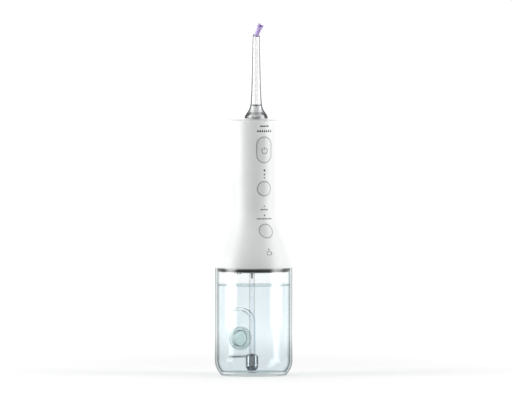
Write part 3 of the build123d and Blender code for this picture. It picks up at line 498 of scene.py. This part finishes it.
# thin closed slab whose top follows the surface hit from the origin plane
def layMark(name, quads, origin, across, up, surface, material, body, lift=0.03, thick=0.05):
    away = across.cross(up)
    bm = bmesh.new()
    high, low = {}, {}

    def cornerAt(a, b):
        key = (round(a, 4), round(b, 4))
        if key not in high:
            start = origin + across * a * mm + up * b * mm + away * 0.02
            hit, normal, _, _ = surface.ray_cast(start, -away)
            normal = normal if normal.dot(away) > 0 else -normal
            high[key] = bm.verts.new(hit + normal * lift * mm)
            low[key] = bm.verts.new(hit - normal * (thick - lift) * mm)
        return key

    sides = [[cornerAt(a, b) for a, b in quad] for quad in quads]
    shared = [frozenset(pair) for keys in sides for pair in zip(keys, keys[1:] + keys[:1])]
    for keys in sides:
        bm.faces.new([high[k] for k in keys])
        bm.faces.new([low[k] for k in keys][::-1])
        for pair in zip(keys, keys[1:] + keys[:1]):
            if shared.count(frozenset(pair)) == 1:
                bm.faces.new((high[pair[1]], high[pair[0]], low[pair[0]], low[pair[1]]))
    bmesh.ops.recalc_face_normals(bm, faces=bm.faces)
    return meshObject(name, bm, material, body, smooth=False, tidy=False)


# points along a line of corners, close enough to follow a curved surface
def densePoints(corners, step=0.5):
    points = []
    for (a, b), (c, d) in zip(corners, corners[1:]):
        count = max(1, math.ceil(math.hypot(c - a, d - b) / step))
        points += [(a + (c - a) * k / count, b + (d - b) * k / count) for k in range(count)]
    return points + [corners[-1]]


# short bar broken by gaps, in place of a word
def dashes(width, height, gaps):
    edges = [-width / 2] + [g for gap in gaps for g in (gap - 0.18, gap + 0.18)] + [width / 2]
    return [quad for a, b in zip(edges[::2], edges[1::2]) for quad in lineStrip(densePoints([(a, 0), (b, 0)]), height)]


# water drop, point up
def drop(a, b, size, sides=24):
    ring = []
    for k in range(sides):
        angle = math.radians(360 * k / sides)
        pull = (1 + math.sin(angle)) / 2
        ring.append((a + size * 0.62 * math.cos(angle) * (1 - 0.85 * pull ** 3),
                     b + size * (math.sin(angle) * 0.62 + 0.5 * pull ** 4)))
    return [[(a, b), ring[i], ring[(i + 1) % sides]] for i in range(sides)]


# pad-printed inks: flat, slightly glossy, a hair above the moulding
inkGrey = moulded("inkGreyPadPrinted", "#7b8180", "#737978", 0.4, 0.4, 0.002)
inkDark = moulded("inkCharcoalPadPrinted", "#3a3e40", "#323638", 0.4, 0.4, 0.002)
# painted shade of the gap round each cap: a soft mid-grey line laid on the cap's edge
gapShadeGrey = moulded("paintedGapShadeGrey", "#aab0af", "#a0a6a5", 0.5, 0.4, 0.005)

acrossX, upZ = Vector((1, 0, 0)), Vector((0, 0, 1))
shellFace = surfaceOf("handle_shell")
powerFace, pressureFace, modeFace = surfaceOf("power_button"), surfaceOf("pressure_button"), surfaceOf("mode_button")
tankFace = surfaceOf("reservoir_tank")


def frontPoint(z):
    return Vector((0, -45 * mm, z * mm))


marks = {"power": 198.3, "symbol": 197.4, "pressure": 164.3, "mode": 127.3, "modeLean": 18.59, "modeFront": -25.89,
         "battery": 108.0, "upper": 219.0, "lower": 214.6, "level": 88.2,
         "capWidth": 6.7, "capHeight": 22.2, "roundCap": 6.1, "gapShadeWidth": 0.5, "gapShadeLift": 0.05, "gapShadeThick": 0.09,
         "labels": {"label_short": (145.9, 7.0, (-1.2, 1.5)), "label_long": (137.9, 14.0, (-3.4, 0.2, 3.1))}}


# painted gap shade round a cap, as a grey line
def layGapShade(name, line, origin, up, surface, body):
    layMark(name, lineStrip(line, marks["gapShadeWidth"], closed=True), origin, acrossX, up, surface, gapShadeGrey, body,
            lift=marks["gapShadeLift"], thick=marks["gapShadeThick"])


# mark on the front of the shell
def layFront(name, quads, z, ink):
    layMark(name, quads, frontPoint(z), acrossX, upZ, shellFace, ink, "handle")


layGapShade("power_gap_shade", stadium(marks["capWidth"], marks["capHeight"]), frontPoint(marks["power"]), upZ,
       powerFace, "power_button")
ring = arcPoints(0, 0, marks["roundCap"], 0, 360, 64)[:-1]
layGapShade("pressure_gap_shade", ring, frontPoint(marks["pressure"]), upZ, pressureFace, "pressure_button")
lean = math.radians(marks["modeLean"])    # the mode cap follows the slope of the flare
modeOut = Vector((0, -math.cos(lean), math.sin(lean)))
modeUp = Vector((0, math.sin(lean), math.cos(lean)))
modeStart = Vector((0, marks["modeFront"] * mm, marks["mode"] * mm)) + modeOut * 18 * mm
layGapShade("mode_gap_shade", ring, modeStart, modeUp, modeFace, "mode_button")

symbol = lineStrip(arcPoints(0, 0, 2.6, 118, 422, 40), 0.62) + lineStrip([(0, 0.9), (0, 2.0), (0, 3.3)], 0.62)
layMark("power_symbol", symbol, frontPoint(marks["symbol"]), acrossX, upZ, powerFace, inkGrey, "power_button")
for name, (z, width, gaps) in marks["labels"].items():
    layFront(name, dashes(width, 1.0, gaps), z, inkGrey)
box = densePoints([(-2.0, -1.35), (2.0, -1.35), (2.0, 1.35), (-2.0, 1.35), (-2.0, -1.35)])[:-1]
battery = lineStrip(box, 0.45, closed=True) + [[(2.3, -0.5), (2.8, -0.5), (2.8, 0.5), (2.3, 0.5)]]
layFront("battery_mark", battery, marks["battery"], inkGrey)
layFront("front_dashes", dashes(8.2, 1.2, (-1.6, 1.0)), marks["upper"], inkDark)
drops = [quad for k in range(-3, 4) for quad in drop(k * 2.0, 0, 1.35)]
layFront("front_drops", drops, marks["lower"], inkDark)
triangles = [[(a - 0.95, -0.8), (a + 0.95, -0.8), (a, 0.9)] for a in (-2.6, 0, 2.6)]
level = triangles + [[(a, b + 1.4) for a, b in quad] for quad in dashes(7.6, 0.45, ())]
levelStart = Vector((0, 45 * mm, marks["level"] * mm))
layMark("level_mark", level, levelStart, -acrossX, upZ, tankFace, inkDark, "reservoir")
print("marks laid")


# small repeated parts, by geometry nodes

# runs a node tree on an empty mesh and keeps the result as plain faces
def bakeTree(name, tree, values, material, body):
    holder = bpy.data.objects.new(name, bpy.data.meshes.new(name))
    scene.collection.objects.link(holder)
    modifier = holder.modifiers.new("make", "NODES")
    modifier.node_group = tree
    for item in tree.interface.items_tree:
        if item.item_type == "SOCKET" and item.in_out == "INPUT" and item.name in values:
            modifier[item.identifier] = values[item.name]
    baked = bpy.data.meshes.new_from_object(holder.evaluated_get(bpy.context.evaluated_depsgraph_get()))
    holder.modifiers.remove(modifier)
    holder.data = baked
    baked.name = name
    if not baked.materials:
        baked.materials.append(material)
    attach(holder, body)
    print(name, len(baked.polygons), "faces")
    return holder


def newTree(name, inputs):
    tree = bpy.data.node_groups.new(name, "GeometryNodeTree")
    for label, kind in inputs:
        tree.interface.new_socket(name=label, in_out="INPUT", socket_type=kind)
    tree.interface.new_socket(name="Geometry", in_out="OUTPUT", socket_type="NodeSocketGeometry")
    return tree


# small blocks standing round a circle, turned to face outwards
def ringOfRibs():
    tree = newTree("ringOfRibs", [
        ("Count", "NodeSocketInt"), ("Radius", "NodeSocketFloat"), ("Rib Size", "NodeSocketVector"),
        ("Centre", "NodeSocketVector"), ("Finish", "NodeSocketMaterial")])
    given = addNode(tree, "NodeGroupInput").outputs
    circle = addNode(tree, "GeometryNodeMeshCircle", inputs={"Vertices": given["Count"], "Radius": given["Radius"]})
    rib = addNode(tree, "GeometryNodeMeshCube", inputs={"Size": given["Rib Size"]})
    place = addNode(tree, "GeometryNodeInputPosition")
    face = addNode(tree, "FunctionNodeAlignRotationToVector", {"axis": "X"}, {"Vector": place.outputs["Position"]})
    ribs = addNode(tree, "GeometryNodeInstanceOnPoints", inputs={
        "Points": circle.outputs["Mesh"], "Instance": rib.outputs["Mesh"], "Rotation": face.outputs["Rotation"]})
    moved = addNode(tree, "GeometryNodeTransform", inputs={
        "Geometry": ribs.outputs["Instances"], "Translation": given["Centre"]})
    solid = addNode(tree, "GeometryNodeRealizeInstances", inputs={"Geometry": moved.outputs["Geometry"]})
    painted = addNode(tree, "GeometryNodeSetMaterial", inputs={
        "Geometry": solid.outputs["Geometry"], "Material": given["Finish"]})
    addNode(tree, "NodeGroupOutput", inputs={"Geometry": painted.outputs["Geometry"]})
    return tree


ribTree = ringOfRibs()
bellRibs = {"Count": 28, "Radius": 8.15 * mm, "Rib Size": Vector((1.1, 0.45, 1.0)) * mm,
            "Centre": Vector((0, -5.2, 226.75)) * mm, "Finish": finishes["white_core"]}
bakeTree("core_ribs", ribTree, bellRibs, finishes["white_core"], "nozzle")
collarRibs = {"Count": 60, "Radius": 9.78 * mm, "Rib Size": Vector((0.35, 0.45, 0.85)) * mm,
              "Centre": Vector((0, -5.2, 224.78)) * mm, "Finish": finishes["white_shell"]}
bakeTree("collar_grip", ribTree, collarRibs, finishes["white_shell"], "collar")


# floor and light

floorLook = {"reach": 80.0, "near": 0.12, "far": 0.9, "glow": 0.5, "base": 0.18,
             "bank": 2.5, "bankNear": 0.1, "bankFar": 0.25}


# 0 towards the lens, 1 straight away from it, by a fixed direction in the room
def towardsBack(tree, direction):
    along = addNode(tree, "ShaderNodeVectorMath", {"operation": "DOT_PRODUCT"}, {0: direction, 1: forward})
    half = addNode(tree, "ShaderNodeMath", {"operation": "MULTIPLY_ADD"}, {0: along.outputs["Value"], 1: 0.5, 2: 0.5})
    return half.outputs["Value"]


# dark room in front, open side walls, white sweep behind
def roomRamp(tree, value):
    ramp = addNode(tree, "ShaderNodeFloatCurve", inputs={"Value": value})
    points = ramp.mapping.curves[0].points
    points[0].location, points[1].location = (0.0, 0.13), (1.0, 1.0)
    for place, height in ((0.35, 0.2), (0.6, 0.6), (0.8, 0.95)):
        points.new(place, height)
    ramp.mapping.update()
    return ramp.outputs["Value"]


# two white banks low at the sides, which polished metal picks up as upright strips
def bankRamp(tree, value):
    ramp = addNode(tree, "ShaderNodeFloatCurve", inputs={"Value": value})
    points = ramp.mapping.curves[0].points
    points[0].location, points[1].location = (0.0, 0.0), (1.0, 0.0)
    for place, height in ((0.27, 0.0), (0.31, 1.0), (0.42, 1.0), (0.46, 0.0)):
        points.new(place, height)
    ramp.mapping.update()
    return ramp.outputs["Value"]


floorFinish, tree = newFinish("sweepWhiteMatt")
place = addNode(tree, "ShaderNodeTexCoord").outputs["Object"]
distance = addNode(tree, "ShaderNodeVectorMath", {"operation": "LENGTH"}, {0: place}).outputs["Value"]
away = addNode(tree, "ShaderNodeMapRange", {"interpolation_type": "SMOOTHSTEP"}, {
    "Value": distance, "From Min": floorLook["near"], "From Max": floorLook["far"]}).outputs["Result"]
unit = addNode(tree, "ShaderNodeVectorMath", {"operation": "NORMALIZE"}, {0: place}).outputs["Vector"]
half = towardsBack(tree, unit)
rays = addNode(tree, "ShaderNodeLightPath").outputs
# what the lens sees: bright paper
paper = addNode(tree, "ShaderNodeBsdfDiffuse", inputs={"Color": (0.8, 0.8, 0.8, 1)})
seenGlow = addNode(tree, "ShaderNodeMath", {"operation": "MULTIPLY_ADD"}, {
    0: away, 1: floorLook["glow"], 2: floorLook["base"]}).outputs["Value"]
glow = addNode(tree, "ShaderNodeEmission", inputs={"Strength": seenGlow})
bright = addNode(tree, "ShaderNodeAddShader", inputs={0: paper.outputs["BSDF"], 1: glow.outputs["Emission"]})
# what the object is lit by and mirrors: a dimmer floor that follows the room
dimPaper = addNode(tree, "ShaderNodeBsdfDiffuse", inputs={"Color": (0.35, 0.35, 0.35, 1)})
roomGlow = addNode(tree, "ShaderNodeMath", {"operation": "MULTIPLY"}, {
    0: roomRamp(tree, half), 1: away}).outputs["Value"]
roomLight = addNode(tree, "ShaderNodeEmission", inputs={"Strength": roomGlow})
dim = addNode(tree, "ShaderNodeAddShader", inputs={0: dimPaper.outputs["BSDF"], 1: roomLight.outputs["Emission"]})
beyond = addNode(tree, "ShaderNodeMapRange", {"interpolation_type": "SMOOTHSTEP"}, {
    "Value": distance, "From Min": floorLook["bankNear"], "From Max": floorLook["bankFar"]}).outputs["Result"]
bank = bankRamp(tree, half)
for factor in (beyond, floorLook["bank"], rays["Is Glossy Ray"]):
    bank = addNode(tree, "ShaderNodeMath", {"operation": "MULTIPLY"}, {0: bank, 1: factor}).outputs["Value"]
bankLight = addNode(tree, "ShaderNodeEmission", inputs={"Strength": bank})
dim = addNode(tree, "ShaderNodeAddShader", inputs={0: dim.outputs["Shader"], 1: bankLight.outputs["Emission"]})
seen = addNode(tree, "ShaderNodeMath", {"operation": "MAXIMUM"}, {
    0: rays["Is Camera Ray"], 1: rays["Is Transmission Ray"]}).outputs["Value"]
either = addNode(tree, "ShaderNodeMixShader", inputs={0: seen, 1: dim.outputs["Shader"], 2: bright.outputs["Shader"]})
close(tree, either.outputs["Shader"])

bm = bmesh.new()
reach = floorLook["reach"]
corners = ((-reach, -reach, 0), (reach, -reach, 0), (reach, reach, 0), (-reach, reach, 0))
bm.faces.new([bm.verts.new(p) for p in corners])
mesh = bpy.data.meshes.new("floor")
bm.to_mesh(mesh)
bm.free()
mesh.materials.append(floorFinish)
floor = bpy.data.objects.new("floor", mesh)
floor.location.z = -0.00002
scene.collection.objects.link(floor)

world = bpy.data.worlds.new("whiteRoom")
scene.world = world
world.use_nodes = True
tree = world.node_tree
tree.nodes.clear()
direction = addNode(tree, "ShaderNodeTexCoord").outputs["Generated"]
rays = addNode(tree, "ShaderNodeLightPath").outputs
strength = addNode(tree, "ShaderNodeMix", {"data_type": "FLOAT"}, {
    0: rays["Is Camera Ray"], 2: roomRamp(tree, towardsBack(tree, direction)), 3: 1.0})
sky = addNode(tree, "ShaderNodeBackground", inputs={"Color": (1, 1, 1, 1), "Strength": strength.outputs[0]})
addNode(tree, "ShaderNodeOutputWorld", inputs={"Surface": sky.outputs["Background"]})

softboxes = {"angle": 75.0, "distance": 0.9, "width": 0.65, "height": 1.1, "centre": 0.5, "left": 9.9, "right": 9.0}
for side, watts in ((-1, softboxes["left"]), (1, softboxes["right"])):
    swing = math.radians(softboxes["angle"]) * side
    towards = -forward * math.cos(swing) + right * math.sin(swing)
    light = bpy.data.lights.new("softbox", "AREA")
    light.shape = "RECTANGLE"
    light.size, light.size_y = softboxes["width"], softboxes["height"]
    light.energy = watts
    lamp = bpy.data.objects.new("softbox", light)
    lamp.location = towards * softboxes["distance"] + Vector((0, 0, softboxes["centre"]))
    lamp.rotation_euler = (-towards).to_track_quat("-Z", "Y").to_euler()
    scene.collection.objects.link(lamp)
print("floor and light set")
